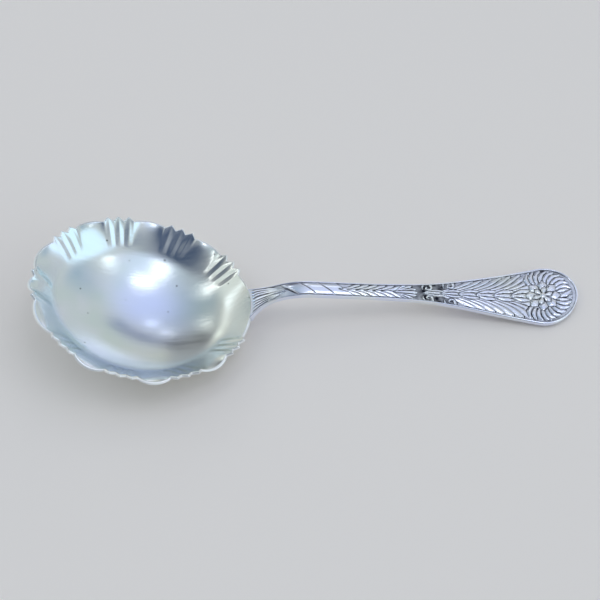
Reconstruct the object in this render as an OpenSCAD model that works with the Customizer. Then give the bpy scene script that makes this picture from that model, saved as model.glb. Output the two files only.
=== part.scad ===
// Serving spoon: a fluted and scalloped bowl of sheet silver, soldered to a struck silver handle.
// The origin is the middle of the flat that the bowl rests on. +X runs along the handle, +Z is up.

/* [Bowl] */
// Length of the bowl from heel to tip, inside its flutes
bowl_len = 88.5; // [80:0.5:96]
// Width of the bowl, inside its flutes
bowl_w = 76.2; // [68:0.2:84]
// Depth of the bowl below its rim
bowl_depth = 16.4; // [14:0.2:18]
// Share of the depth that the evenly curved floor takes up; the bend above it and the wall take up the rest
floor_share = 0.8; // [0.76:0.01:0.86]
// Where the bend between floor and wall begins, as a share of the way from the middle to the rim
bend_from = 0.7; // [0.66:0.01:0.74]
// Where the bend ends and the straighter wall begins, as a share of the same way
bend_to = 0.9; // [0.86:0.01:0.94]
// Thickness of the bowl's sheet
sheet = 1.1; // [0.9:0.1:1.5]
// Angle by which the bowl leans back as it lies on a table, tip up
bowl_tilt = 16.2; // [14:0.2:18]
// Share by which the bowl is wider near its tip than near its heel
tip_fullness = 0.03; // [0:0.01:0.08]
// Rise of the rim at its tip and heel above its sides
rim_sweep = 2; // [1:0.2:3]
// Lift of the rim where it runs up into the handle
heel_lift = 2.6; // [2:0.2:3.6]
// Diameter of the flat that the bowl rests on
rest_flat = 10; // [6:1:12]

/* [Flutes and scallops] */
// Length of a flute, seen from above
flute_run = 7.5; // [6:0.25:9]
// Angle that one flute takes up round the rim
flute_pitch = 5.8; // [5:0.1:6.2]
// Distance that a flute's point stands out from the rim
flute_out = 1.43; // [0.8:0.01:1.8]
// Distance that a flute's point rises above the rim by running on up the wall
flute_rise = 0.7; // [0.3:0.1:1.1]
// Height of a flute's ridge above the wall, halfway up it
flute_crown = 0.9; // [0.5:0.1:1.2]
// Number of flutes in a group
group_flutes = 3; // [2:1:3]
// Number of groups on each side of the bowl
side_groups = 4; // [3:1:4]
// Angle from the handle to the middle of the first group
first_group = 33.2; // [31:0.2:36]
// Angle from one group to the next
group_step = 34.6; // [33:0.2:36]
// Angle from the bowl's tip to the single flute on each side of it
tip_flute = 8.4; // [7:0.2:10]
// Distance that a scallop stands out from the rim between two groups
scallop_out = 1.75; // [1:0.05:2.4]
// Distance that a scallop's lip turns down
scallop_drop = 0.4; // [0:0.1:0.6]

/* [Handle] */
// Length of the handle along the curve of its face
handle_len = 140.5; // [125:0.5:155]
// Width of the handle where it meets the bowl
shoulder_w = 15; // [12:0.5:19]
// Length over which the shoulder narrows to the neck
shoulder_len = 17; // [14:1:26]
// Width of the neck
neck_w = 5.2; // [4.4:0.2:7]
// Diameter of the rounded end
end_w = 28.5; // [24:0.5:32]
// Angle at which each side spreads from the neck to the end
side_spread = 12.6; // [11:0.2:14.6]
// Softness of the bend between the neck and the spreading side
side_blend = 2.1; // [1:0.1:3]
// Distance that the end reaches farther on one side than on the other, for each unit across
end_skew = 0.14; // [0:0.01:0.2]
// Radius of the arch above the bowl's heel
arch_r = 31; // [26:1:38]
// Radius of the upward sweep of the end
end_sweep_r = 220; // [160:1:260]
// Thickness of the handle at its neck
neck_thick = 2.7; // [2.2:0.1:3.4]
// Thickness of the handle at its end
end_thick = 2.2; // [1.8:0.1:2.8]
// Depth of the sunk field inside the raised border of the face
field_depth = 0.35; // [0.2:0.05:0.6]
// Distance by which the edge of the face is rounded off
edge_drop = 0.5; // [0.3:0.05:0.8]

/* [Soldered joint] */
// Thickness of the solder between bowl and handle
solder = 0.2; // [0.1:0.05:0.3]
// Thickness of the thin edge of the handle's tongue, under the bowl's heel
tongue_edge = 0.4; // [0.3:0.1:0.8]

/* [Hidden] */

half_len = bowl_len / 2;
half_w = bowl_w / 2;
// Angle round the rim, each side of the handle, that the shoulder covers
shoulder_angle = asin(shoulder_w / bowl_w);
// Angle each side of the handle over which the rim is lifted
lift_spread = first_group - group_flutes * flute_pitch / 2;
// How closely the heel's lift keeps to the rim
lift_power = 8;
// Share of the flutes' run at which their ridges would sink back into the wall, past the rim
crown_end = 1.2;
// How late up the wall a scallop bulges out, and how late its lip turns down
bulge_power = 2;
lip_power = 5;
// Fullness of a scallop's outline: 1 is a plain arch, less is fuller
scallop_fullness = 0.7;

// Columns across the handle's face, from one edge to the other: edge, border, field, middle
columns = [-1, -0.9, -0.72, -0.5, -0.25, 0, 0.25, 0.5, 0.72, 0.9, 1];
border_column = 0.9;
field_column = 0.72;
// Share of the thickness that the underside loses towards its edges
under_round = 0.5;
// Steps along a flute, a scallop and the plain rim beside the handle
flute_steps = 4;
scallop_steps = 6;
plain_steps = 4;
// Rows down the fluted wall, and rows from there to the resting flat
wall_rows = 8;
floor_rows = 8;
// How closely the floor's rows crowd together towards the bend
floor_crowding = 1.4;
// Length over which the handle's face leaves the line of the rim
settle_len = 8;
// How strongly the tongue narrows to a point
tongue_point = 3;
// Spacing of the handle's sections along the shoulder and the stem
first_stem = 1.2;
shoulder_step = 1.5;
stem_step = 3.5;
// Number of sections round the handle's end, and the angle round it at which the last one stands
end_steps = 12;
end_turn = 85;

function unit(v) = v / norm(v);
function mix(a, b, f) = a + (b - a) * f;
function flat(lists) = [for (l = lists) each l];

// The dish. It is worked out level, with u along the bowl, y across and height up from the rim's sides.
function egg(u) = 1 - tip_fullness * u / half_len;
function reach(u, y) = norm([u / half_len, y / (half_w * egg(u))]);
function lift_at(angle) = abs(angle) < lift_spread ? pow(cos(90 * angle / lift_spread), 2) : 0;
function bent(r) =
    let (past = (r - bend_from) / (bend_to - bend_from), soft = min(1, max(0, past)))
    pow(soft, 3) - pow(soft, 4) / 2 + max(0, past - 1);
function hollow(r) = floor_share * r * r + (1 - floor_share) * bent(r) / bent(1);
function dish(u, y) =
    let (r = reach(u, y), angle = atan2(y / half_w, u / half_len))
    bowl_depth * (hollow(r) - 1) + rim_sweep * pow(u / half_len, 2)
    + heel_lift * pow(r, lift_power) * lift_at(angle);

slope_probe = 0.02;
function slope_u(u, y) = (dish(u + slope_probe, y) - dish(u - slope_probe, y)) / (2 * slope_probe);
function slope_y(u, y) = (dish(u, y + slope_probe) - dish(u, y - slope_probe)) / (2 * slope_probe);
function upward(u, y) = unit([-slope_u(u, y), -slope_y(u, y), 1]);

// The bowl comes to rest where the floor's slope equals the tilt
function find_rest(low, high, tries = 40) =
    let (middle = (low + high) / 2)
    tries == 0 ? middle
    : slope_u(middle, 0) < tan(bowl_tilt) ? find_rest(middle, high, tries - 1)
    : find_rest(low, middle, tries - 1);
rest_u = find_rest(0, half_len);
rest_point = [rest_u, 0, dish(rest_u, 0)] - sheet * upward(rest_u, 0);

// Turns a vector from the level dish to the spoon as it lies, and places a point of it above the flat
function turned(v) =
    [v.x * cos(bowl_tilt) + v.z * sin(bowl_tilt), v.y, v.z * cos(bowl_tilt) - v.x * sin(bowl_tilt)];
flat_cut = max([for (a = [0:30:330])
    let (u = rest_u + rest_flat / 2 * cos(a), y = rest_flat / 2 * sin(a))
    turned([u, y, dish(u, y)] - sheet * upward(u, y) - rest_point).z]);
function laid(p) = turned(p - rest_point) - [0, 0, flat_cut];

// Stations round the rim: [angle, share of a flute's ridge, share of a scallop's bulge]
function tooth(f) = 1 - abs(2 * (f - floor(f)) - 1);
function flute_stations(from, count) = [for (i = [0:count * flute_steps - 1])
    let (f = i / flute_steps) [from + f * flute_pitch, tooth(f), 0]];
function scallop_stations(from, to, steps, arch = 180) = [for (i = [0:steps - 1])
    let (f = i / steps) [mix(from, to, f), 0, pow(sin(arch * f), scallop_fullness)]];
function plain_station(angle) = [angle, 0, 0];
function group_start(g) = first_group + g * group_step - group_flutes * flute_pitch / 2;
function group_end(g) = group_start(g) + group_flutes * flute_pitch;
tip_flute_start = 180 - tip_flute - flute_pitch / 2;
tip_flute_end = tip_flute_start + flute_pitch;
function scallop_end(g) = g < side_groups - 1 ? group_start(g + 1) : tip_flute_start;

heel_stations = [for (c = columns) if (c < 1) plain_station(c * shoulder_angle)];
side_stations = concat(
    [for (i = [0:plain_steps - 1]) plain_station(mix(shoulder_angle, group_start(0), i / plain_steps))],
    flat([for (g = [0:side_groups - 1]) concat(
        flute_stations(group_start(g), group_flutes),
        scallop_stations(group_end(g), scallop_end(g), scallop_steps))]),
    flute_stations(tip_flute_start, 1),
    scallop_stations(tip_flute_end, 180, scallop_steps / 2, 90));
tip_station = [180, 0, 1];
side_count = len(side_stations);
stations = concat(heel_stations, side_stations, [tip_station],
    [for (i = [1:side_count - 1]) let (s = side_stations[side_count - i]) [360 - s[0], s[1], s[2]]]);
ring_count = len(stations);

// A point of the fluted wall, inner and outer side, at a share of the way from the flutes' feet to the rim
function rim_plan(angle) = let (u = half_len * cos(angle)) [u, half_w * sin(angle) * egg(u)];
function wall_base(angle, share) = let (r = rim_plan(angle)) r * (1 - flute_run * (1 - share) / norm(r));
function crown_arch(share) = 4 * share * (crown_end - share) / pow(crown_end, 2);
function wall_out(s, share) = s[1] * flute_out * share + s[2] * scallop_out * pow(share, bulge_power);
function wall_rise(s, share) = s[1] * (flute_rise * share + flute_crown * crown_arch(share))
    - s[2] * scallop_drop * pow(share, lip_power);
function wall_inner(s, share) =
    let (b = wall_base(s[0], share), p = b + unit(b) * wall_out(s, share))
    [p.x, p.y, dish(b.x, b.y) + wall_rise(s, share)];
function wall_up(s, share) = let (b = wall_base(s[0], share)) upward(b.x, b.y);
function wall_outer(s, share) = wall_inner(s, share) - sheet * wall_up(s, share);

// A point of the floor, at a share of the way from the resting flat to the flutes' feet
function floor_plan(s, share) =
    let (foot = wall_base(s[0], 0) - [rest_u, 0])
    [rest_u, 0] + mix(unit(foot) * rest_flat / 2, foot, share);
function floor_inner(s, share) = let (p = floor_plan(s, share)) [p.x, p.y, dish(p.x, p.y)];
function floor_outer(s, share) =
    let (p = floor_plan(s, share)) [p.x, p.y, dish(p.x, p.y)] - sheet * upward(p.x, p.y);

// Triangles between two rings of points, from a ring to a middle point, and from a coarse ring to a fine one
function band_faces(a, b, n) = flat([for (i = [0:n - 1])
    let (j = (i + 1) % n) [[a + i, b + i, b + j], [a + i, b + j, a + j]]]);
function fan_faces(middle, a, n) = [for (i = [0:n - 1]) [middle, a + i, a + (i + 1) % n]];
function step_faces(coarse, fine, n) = flat([for (i = [0:n / 2 - 1])
    let (j = (i + 1) % (n / 2), f = fine + 2 * i, g = fine + 2 * j)
    [[coarse + i, f, f + 1], [coarse + i, f + 1, coarse + j], [coarse + j, f + 1, g]]]);
function turned_over(faces) = [for (f = faces) [f[0], f[2], f[1]]];

module bowl() {
    coarse = ring_count / 2;
    floor_shares = [for (i = [0:floor_rows - 1]) 1 - pow(1 - i / floor_rows, floor_crowding)];
    wall_shares = [for (i = [0:wall_rows]) i / wall_rows];
    inner_points = concat([[rest_u, 0, dish(rest_u, 0)]],
        flat([for (f = floor_shares) [for (i = [0:coarse - 1]) floor_inner(stations[2 * i], f)]]),
        flat([for (f = wall_shares) [for (i = [0:ring_count - 1]) wall_inner(stations[i], f)]]));
    outer_points = concat([rest_point],
        flat([for (f = floor_shares) [for (i = [0:coarse - 1]) floor_outer(stations[2 * i], f)]]),
        flat([for (f = wall_shares) [for (i = [0:ring_count - 1]) wall_outer(stations[i], f)]]));
    function skin_faces(first) =
        let (wall = first + 1 + floor_rows * coarse)
        concat(fan_faces(first, first + 1, coarse),
            flat([for (i = [0:floor_rows - 2])
                band_faces(first + 1 + i * coarse, first + 1 + (i + 1) * coarse, coarse)]),
            step_faces(wall - coarse, wall, ring_count),
            flat([for (i = [0:wall_rows - 1])
                band_faces(wall + i * ring_count, wall + (i + 1) * ring_count, ring_count)]));
    count = len(inner_points);
    // The resting flat is the floor's first ring and its middle, brought level with the table
    level_points = [for (i = [0:count - 1])
        let (p = laid(outer_points[i])) i <= coarse ? [p.x, p.y, 0] : p];
    color("silver") polyhedron(
        concat([for (p = inner_points) laid(p)], level_points),
        concat(turned_over(skin_faces(0)), skin_faces(count),
            turned_over(band_faces(count - ring_count, 2 * count - ring_count, ring_count))));
}

// The line of the handle's face, from the heel's rim over the arch and down to the table
rim_away = unit(turned([1, 0, slope_u(half_len, 0)]));
root_angle = atan2(rim_away.z, rim_away.x);
root_point = laid(wall_inner(plain_station(0), 1)) + solder * rim_away;
function arch_len(fall) = arch_r * (root_angle + fall) * PI / 180;
function sweep_len(fall) = end_sweep_r * fall * PI / 180;
function straight_len(fall) = handle_len - arch_len(fall) - sweep_len(fall);
function end_height(fall) = root_point.z + arch_r * (cos(fall) - cos(root_angle))
    - straight_len(fall) * sin(fall) - end_sweep_r * (1 - cos(fall));
// The handle falls at the angle that brings the underside of its end down to the table
function find_fall(low, high, tries = 40) =
    let (middle = (low + high) / 2)
    tries == 0 ? middle
    : end_height(middle) > end_thick ? find_fall(middle, high, tries - 1)
    : find_fall(low, middle, tries - 1);
fall = find_fall(0, 25);

function heading(l) =
    l < arch_len(fall) ? root_angle - l / arch_r * 180 / PI
    : l < arch_len(fall) + straight_len(fall) ? -fall
    : -(handle_len - l) / end_sweep_r * 180 / PI;
function face_line(l) =
    let (la = min(l, arch_len(fall)), a = heading(la),
        ls = min(max(l - arch_len(fall), 0), straight_len(fall)),
        h = l > arch_len(fall) + straight_len(fall) ? heading(l) : -fall)
    root_point
    + arch_r * [sin(root_angle) - sin(a), 0, cos(a) - cos(root_angle)]
    + ls * [cos(fall), 0, -sin(fall)]
    + end_sweep_r * [sin(fall) + sin(h), 0, cos(fall) - cos(h)];

// Half the width of the handle along its face: shoulder, neck, spreading sides, round end
end_r = end_w / 2;
end_centre = handle_len - end_r;
side_end = end_centre - end_r * sin(side_spread);
shoulder_half = wall_inner(plain_station(shoulder_angle), 1).y;
function side_width(l) = end_r / cos(side_spread) - (end_centre - l) * tan(side_spread);
function stem_width(l) =
    let (s = side_width(l), blend = side_blend * max(0, 1 - s / (end_r * cos(side_spread))), n = neck_w / 2)
    (n + s + sqrt(pow(s - n, 2) + 4 * blend * blend)) / 2;
function shoulder_flare(l) = (shoulder_half - stem_width(0)) * pow(max(0, 1 - l / shoulder_len), 3);
function half_width(l) = l > side_end ? sqrt(max(0, end_r * end_r - pow(l - end_centre, 2)))
    : stem_width(l) + shoulder_flare(l);
function stem_share(l) = (l - shoulder_len) / (side_end - shoulder_len - end_w);
function thickness(l) = mix(neck_thick, end_thick, min(1, max(0, stem_share(l))));

// The face's section, as a drop below the face line: rounded edge, raised border, sunk field with a crown
function face_drop(c) = abs(c) > border_column ? edge_drop
    : abs(c) > field_column ? 0 : field_depth * pow(c / field_column, 2);
function under_share(c) = 1 - under_round * c * c;

// One section of the handle: points across its face, then back across its underside
function column_station(c) = plain_station(c * shoulder_angle);
function section(tops, unders) = concat(tops, [for (i = [len(unders) - 1:-1:0]) unders[i]]);
function rim_corner(c) = laid(wall_inner(column_station(c), 1));
function column_share(c) = rim_corner(c).y / shoulder_half;
function stem_section(l) =
    let (a = heading(l), above = [-sin(a), 0, cos(a)], along = [cos(a), 0, sin(a)], middle = face_line(l),
        settle = pow(max(0, 1 - l / settle_len), 2), relief = min(1, l / settle_len),
        skew = end_skew * pow(l / handle_len, 3),
        tops = [for (c = columns)
            let (off = rim_corner(c) - rim_corner(0), y = half_width(l) * column_share(c))
            middle + [settle * off.x, y, settle * off.z] + along * skew * y - above * relief * face_drop(c)])
    section(tops, [for (i = [0:len(columns) - 1])
        tops[i] - above * thickness(l) * under_share(columns[i])]);

// The tongue under the heel follows the outside of the bowl, with the solder between
function away(s) =
    let (b = wall_base(s[0], 1), d = unit(b))
    unit([d.x, d.y, slope_u(b.x, b.y) * d.x + slope_y(b.x, b.y) * d.y]);
function tongue_top(c, share) = let (s = column_station(c)) wall_outer(s, share) - solder * wall_up(s, share);
function tongue_thick(c, share) =
    let (drop = max(0, 1 - (1 - share) * sqrt(1 + tongue_point * c * c)))
    mix(tongue_edge, neck_thick * under_share(c), drop);
function tongue_section(share) = section(
    [for (c = columns) laid(tongue_top(c, share))],
    [for (c = columns) let (s = column_station(c))
        laid(tongue_top(c, share) - tongue_thick(c, share) * wall_up(s, share))]);
function corner_section() = section(
    [for (c = columns) laid(tongue_top(c, 1) + solder * away(column_station(c)))],
    [for (c = columns) let (s = column_station(c))
        laid(tongue_top(c, 1) + solder * away(s) - tongue_thick(c, 1) * wall_up(s, 1))]);

// Shells through sections that all have the same number of points
function strip_cap(first, n) = flat([for (i = [0:n / 2 - 2])
    [[first + i, first + i + 1, first + n - 2 - i], [first + i, first + n - 2 - i, first + n - 1 - i]]]);
module shell_through(sections) {
    n = len(sections[0]);
    last = (len(sections) - 1) * n;
    polyhedron(flat(sections), concat(
        flat([for (i = [0:len(sections) - 2]) turned_over(band_faces(i * n, (i + 1) * n, n))]),
        turned_over(strip_cap(0, n)), strip_cap(last, n)));
}

stem_lengths = concat(
    [for (l = [first_stem:shoulder_step:shoulder_len]) l],
    [for (l = [shoulder_len + stem_step / 2:stem_step:side_end - stem_step / 2]) l],
    [for (i = [0:end_steps]) mix(side_end, handle_len, sin(end_turn * i / end_steps))]);

module handle() {
    color("gainsboro") shell_through(concat(
        [for (i = [0:wall_rows - 1]) tongue_section(i / wall_rows)],
        [corner_section()],
        [for (l = stem_lengths) stem_section(l)]));
}

// The solder lies between the bowl's outside and the tongue, and up the bowl's edge
module solder_seam() {
    color("lightgray") shell_through(concat(
        [for (i = [0:wall_rows - 1]) let (f = i / wall_rows) section(
            [for (c = columns) laid(wall_outer(column_station(c), f))],
            [for (c = columns) laid(tongue_top(c, f))])],
        [section([for (c = columns) laid(wall_outer(column_station(c), 1))],
            [for (c = columns) laid(tongue_top(c, 1) + solder * away(column_station(c)))])],
        [section([for (c = columns) rim_corner(c)],
            [for (c = columns) rim_corner(c) + solder * turned(away(column_station(c)))])]));
}

bowl();
handle();
solder_seam();
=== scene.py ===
import math

import bpy
import numpy as np
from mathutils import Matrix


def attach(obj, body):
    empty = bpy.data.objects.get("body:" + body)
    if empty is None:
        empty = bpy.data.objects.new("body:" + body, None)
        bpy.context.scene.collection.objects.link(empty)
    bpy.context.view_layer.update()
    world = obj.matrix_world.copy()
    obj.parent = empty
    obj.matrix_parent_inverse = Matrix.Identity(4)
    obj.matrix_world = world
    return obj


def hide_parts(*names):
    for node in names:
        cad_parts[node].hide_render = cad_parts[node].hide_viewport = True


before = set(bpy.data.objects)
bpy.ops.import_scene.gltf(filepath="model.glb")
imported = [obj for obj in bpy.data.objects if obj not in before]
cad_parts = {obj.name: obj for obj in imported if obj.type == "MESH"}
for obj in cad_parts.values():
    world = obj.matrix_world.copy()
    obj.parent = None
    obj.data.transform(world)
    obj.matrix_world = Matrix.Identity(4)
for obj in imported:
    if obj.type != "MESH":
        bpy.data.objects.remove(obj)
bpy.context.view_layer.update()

# Bowl: one sheet of sterling silver, stamped into a nearly round dish that leans back on its heel.
# Groups of pointed flutes are pressed into the rim, with plain scallops between them, and the trimmed
# edge is rounded over. Its heel is soldered onto the tongue of the handle.
mm = 0.001

# Sizes in millimetres, with the bowl level, u towards the handle and y across. The even curve of the floor
# takes floor_share of the depth, and the wall bends up between bend_from and bend_to of the way out
half_len = 44.25
half_wide = 38.1
bowl_depth = 16.4
floor_share = 0.8
bend_from = 0.7
bend_to = 0.9
sheet = 1.1
tilt = math.radians(16.2)
tip_fullness = 0.03
rim_sweep = 2.0
heel_lift = 2.6
lift_power = 8
rest_flat = 10.0

# Flutes and scallops of the rim, which fade out flute_run below it. The flutes are fullest part of the
# way up, and the two powers shape the arch and the turned lip of the scallops
flute_run = 7.5
flute_pitch = math.radians(5.8)
flute_out = 1.43
flute_rise = 0.7
flute_crown = 0.9
crown_end = 1.2
group_flutes = 3
side_groups = 4
first_group = math.radians(33.2)
group_step = math.radians(34.6)
tip_flute = math.radians(8.4)
scallop_out = 1.75
scallop_drop = 0.8
scallop_power = 0.7
lip_power = 6.0
lift_spread = first_group - group_flutes * flute_pitch / 2


def bent(reach):
    """Rise of the wall past the bend between floor and wall, whose slope comes in softly."""
    past = (reach - bend_from) / (bend_to - bend_from)
    soft = np.clip(past, 0, 1)
    return soft**3 - soft**4 / 2 + np.maximum(past - 1, 0)


def dish(u, y):
    """Height of the level dish above the sides of its rim, with u towards the handle and y across."""
    along = u / half_len
    reach = np.hypot(along, y / (half_wide * (1 - tip_fullness * along)))
    turn = np.minimum(np.abs(np.arctan2(y / half_wide, along)) / lift_spread, 1)
    lift = heel_lift * reach**lift_power * np.cos(turn * math.pi / 2) ** 2
    wall = floor_share * reach**2 + (1 - floor_share) * bent(reach) / bent(1.0)
    return bowl_depth * (wall - 1) + rim_sweep * along**2 + lift


def slopes(u, y):
    """Slope of the level dish along u and along y."""
    step = 0.02
    along = (dish(u + step, y) - dish(u - step, y)) / (2 * step)
    across = (dish(u, y + step) - dish(u, y - step)) / (2 * step)
    return along, across


def upward(u, y):
    """Unit vector square to the level dish."""
    along, across = slopes(u, y)
    square = np.stack([-along, -across, np.ones_like(along)], -1)
    return square / np.linalg.norm(square, axis=-1, keepdims=True)


def under_dish(u, y, below):
    """Points square below the inside of the level dish, or on it where below is nothing."""
    return np.stack([u, y, dish(u, y)], -1) - below * upward(u, y)


def turned(points):
    """Points of the level dish, leaned back as the spoon lies."""
    x, y, z = np.moveaxis(points, -1, 0)
    ahead = x * math.cos(tilt) + z * math.sin(tilt)
    up = z * math.cos(tilt) - x * math.sin(tilt)
    return np.stack([ahead, y, up], -1)


def halved(low, high, too_low, times=40):
    """The value between low and high at which too_low stops being true."""
    for _ in range(times):
        middle = (low + high) / 2
        low, high = (middle, high) if too_low(middle) else (low, middle)
    return low


# The bowl rests where its floor slopes as much as it leans, on a spot worn flat
middle_y = np.float64(0)
rest_u = halved(0.0, half_len, lambda u: slopes(u, middle_y)[0] < math.tan(tilt))
rest_point = under_dish(np.float64(rest_u), middle_y, sheet)
spot_points = 12
spot_angle = np.linspace(0, 2 * math.pi, spot_points, endpoint=False)
spot_u = rest_u + rest_flat / 2 * np.cos(spot_angle)
spot_y = rest_flat / 2 * np.sin(spot_angle)
flat_cut = turned(under_dish(spot_u, spot_y, sheet) - rest_point)[:, 2].max()


def laid(points):
    """Points of the level dish, placed as the spoon lies on the table."""
    return turned(points - rest_point) - np.array([0, 0, flat_cut])


def rim_plan(turn):
    """Places u and y of the rim at these angles round the level dish."""
    return half_len * np.cos(turn), half_wide * np.sin(turn) * (1 - tip_fullness * np.cos(turn))


crease = math.radians(60)


def closed_mesh(name, points, faces):
    """A smooth mesh object from points in millimetres, with edges past the crease angle kept sharp."""
    mesh = bpy.data.meshes.new(name)
    mesh.from_pydata((points * mm).tolist(), [], faces)
    mesh.shade_smooth()
    mesh.set_sharp_from_angle(angle=crease)
    piece = bpy.data.objects.new(name, mesh)
    bpy.context.collection.objects.link(piece)
    return piece


# Rows run from the middle of the inside, over the rounded edge of the rim, to the middle of the outside
around = 720
rows = 139
edge_part = 0.03
row_crowding = 1.4
course = np.linspace(-1, 1, rows)
edge = np.clip(course / edge_part, -1, 1) * math.pi / 2
share = 1 - (np.maximum(np.abs(course) - edge_part, 0) / (1 - edge_part)) ** row_crowding
through = 0.5 + 0.5 * np.sin(edge)
rim_angle = np.linspace(-math.pi, math.pi, around, endpoint=False)
rim = np.stack(rim_plan(rim_angle), -1)
rim_reach = np.linalg.norm(rim, axis=-1)
outward = rim / rim_reach[:, None]

# The edge is rounded over where it is free, and left square where the shoulder of the handle meets it
shoulder_wide = 15.0
shoulder_angle = math.asin(shoulder_wide / (2 * half_wide))
edge_blend = math.radians(3)
free_edge = np.clip((np.abs(rim_angle) - shoulder_angle) / edge_blend, 0, 1)
round_over = np.cos(edge)[:, None] * free_edge * sheet / 2
plan = share[:, None, None] * rim
level = under_dish(plan[..., 0], plan[..., 1], (sheet * through)[:, None, None])
level[..., :2] += round_over[..., None] * outward
up_wall = np.clip(1 - (1 - share[:, None]) * rim_reach / flute_run, 0, 1)

ring_rows = rows - 2
bowl_points = np.concatenate([level[0, :1], level[1:-1].reshape(-1, 3), level[-1, :1]])
last_point = len(bowl_points) - 1
bowl_faces = []
for i in range(around):
    j = (i + 1) % around
    bowl_faces.append((0, 1 + i, 1 + j))
    bowl_faces.append((last_point, last_point - around + j, last_point - around + i))
    for row in range(ring_rows - 1):
        here = 1 + row * around
        bowl_faces.append((here + i, here + around + i, here + around + j, here + j))
dish_blank = closed_mesh("dish_blank", bowl_points, bowl_faces)
point_values = {
    "rim_angle": np.tile(rim_angle, ring_rows),
    "up_wall": up_wall[1:-1].ravel(),
    "out_x": np.tile(outward[:, 0], ring_rows),
    "out_y": np.tile(outward[:, 1], ring_rows),
    "rubbed_edge": np.repeat(np.cos(edge)[1:-1], around),
}
for name, values in point_values.items():
    layer = dish_blank.data.attributes.new(name, "FLOAT", "POINT")
    layer.data.foreach_set("value", np.concatenate([[0], values, [0]]))


def linear(code):
    """A hex sRGB colour as linear red, green, blue and alpha."""
    parts = [int(code[i : i + 2], 16) / 255 for i in (1, 3, 5)]
    return [c / 12.92 if c <= 0.04045 else ((c + 0.055) / 1.055) ** 2.4 for c in parts] + [1]


def wire(tree, kind, links=(), **settings):
    """Adds a node with its settings, and fills its inputs from nodes, sockets or plain values."""
    made = tree.nodes.new(kind)
    for name, value in settings.items():
        setattr(made, name, value)
    for key, value in links.items() if isinstance(links, dict) else enumerate(links):
        value = value.outputs[0] if isinstance(value, bpy.types.Node) else value
        if isinstance(value, bpy.types.NodeSocket):
            tree.links.new(value, made.inputs[key])
        else:
            made.inputs[key].default_value = value
    return made


# Sterling silver, stamped and then hand-polished for years: a satin mirror with a faint cool cast, cloudy
# patches where it is duller, a painted lavender glow round the highlight in the middle, a warm tarnish
# towards the heel and a rim rubbed bright. The polishing lines and the pits are drawn coarser than real
# ones, so that they show
cloud_wide = 22
# Painted highlight glow: a lavender tint painted into the colour round the spot where the main highlight
# falls
painted_glow_middle = (-12 * mm, 3 * mm, 4 * mm)
painted_glow_inner = 5
painted_glow_outer = 24
heel_way = (0.87, -0.5, 0)
tarnish_from = -35
tarnish_to = 18
pit_gap = 7
pit_core = 0.266
pit_edge = 0.504
polish_turn = 0.5
line_long = 9
line_ratio = 6
line_height = 0.08
polished_rough = 0.12
dull_rough = 0.26
rubbed_rough = 0.55
satin_silver = bpy.data.materials.new("sterling_silver_satin")
satin_silver.use_nodes = True
tree = satin_silver.node_tree
tree.nodes.clear()
place = wire(tree, "ShaderNodeTexCoord").outputs["Object"]
cloud = wire(tree, "ShaderNodeTexNoise", {"Vector": place, "Scale": 1 / (cloud_wide * mm), "Detail": 2.0})
tone = wire(tree, "ShaderNodeValToRGB", [cloud])
tone.color_ramp.elements[0].position = 0.36
tone.color_ramp.elements[0].color = linear("#D9E9EA")
tone.color_ramp.elements[1].position = 0.64
tone.color_ramp.elements[1].color = linear("#E5EDF6")
from_middle = wire(tree, "ShaderNodeVectorMath", [place, painted_glow_middle], operation="DISTANCE").outputs["Value"]
painted_glow_fade = {"Value": from_middle, "From Min": painted_glow_inner * mm, "From Max": painted_glow_outer * mm}
painted_glow_fade |= {"To Min": 1.0, "To Max": 0.0}
painted_glow = wire(tree, "ShaderNodeMapRange", painted_glow_fade, interpolation_type="SMOOTHSTEP")
to_heel = wire(tree, "ShaderNodeVectorMath", [place, heel_way], operation="DOT_PRODUCT").outputs["Value"]
tarnish_fade = {"Value": to_heel, "From Min": tarnish_from * mm, "From Max": tarnish_to * mm}
tarnish = wire(tree, "ShaderNodeMapRange", tarnish_fade, interpolation_type="SMOOTHSTEP")
scattered = {"Vector": place, "Scale": 1 / (pit_gap * mm), "Randomness": 1.0}
pit_cells = wire(tree, "ShaderNodeTexVoronoi", scattered)
pit_fade = {"Value": pit_cells, "From Min": pit_core / pit_gap, "From Max": pit_edge / pit_gap}
pit_fade |= {"To Min": 0.7, "To Max": 0.0}
pit = wire(tree, "ShaderNodeMapRange", pit_fade)
on_edge = wire(tree, "ShaderNodeAttribute", attribute_name="rubbed_edge").outputs["Fac"]
# Layers of colour over the clouded silver: tarnish, the painted lavender glow round the highlight, pits and
# the rubbed edge
colour = tone
for where, code in ((tarnish, "#E0E4DE"), (painted_glow, "#DCE6FF"), (pit, "#3E4042"), (on_edge, "#F8F9FA")):
    layered = wire(tree, "ShaderNodeMix", {"Factor": where, "A": colour, "B": linear(code)}, data_type="RGBA")
    colour = layered.outputs[2]
wiped = {"Vector": place, "Rotation": (0, 0, polish_turn), "Scale": (1, line_ratio, 1)}
smear = wire(tree, "ShaderNodeMapping", wiped)
line_noise = {"Vector": smear, "Scale": 1 / (line_long * mm), "Detail": 6.0, "Roughness": 0.65}
lines = wire(tree, "ShaderNodeTexNoise", line_noise)
dull = wire(tree, "ShaderNodeMath", [cloud, lines], operation="ADD")
dull_range = {"Value": dull, "From Min": 0.7, "From Max": 1.3, "To Min": polished_rough, "To Max": dull_rough}
satin = wire(tree, "ShaderNodeMapRange", dull_range)
edge_rough = wire(tree, "ShaderNodeMath", [on_edge, rubbed_rough], operation="MULTIPLY")
rough = wire(tree, "ShaderNodeMath", [satin, edge_rough], operation="MAXIMUM")
hairline = wire(tree, "ShaderNodeBump", {"Height": lines, "Strength": 0.55, "Distance": line_height * mm})
finish = {"Base Color": colour, "Metallic": 1.0, "Roughness": rough, "Normal": hairline}
silver = wire(tree, "ShaderNodeBsdfPrincipled", finish)
wire(tree, "ShaderNodeOutputMaterial", [silver])

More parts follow.
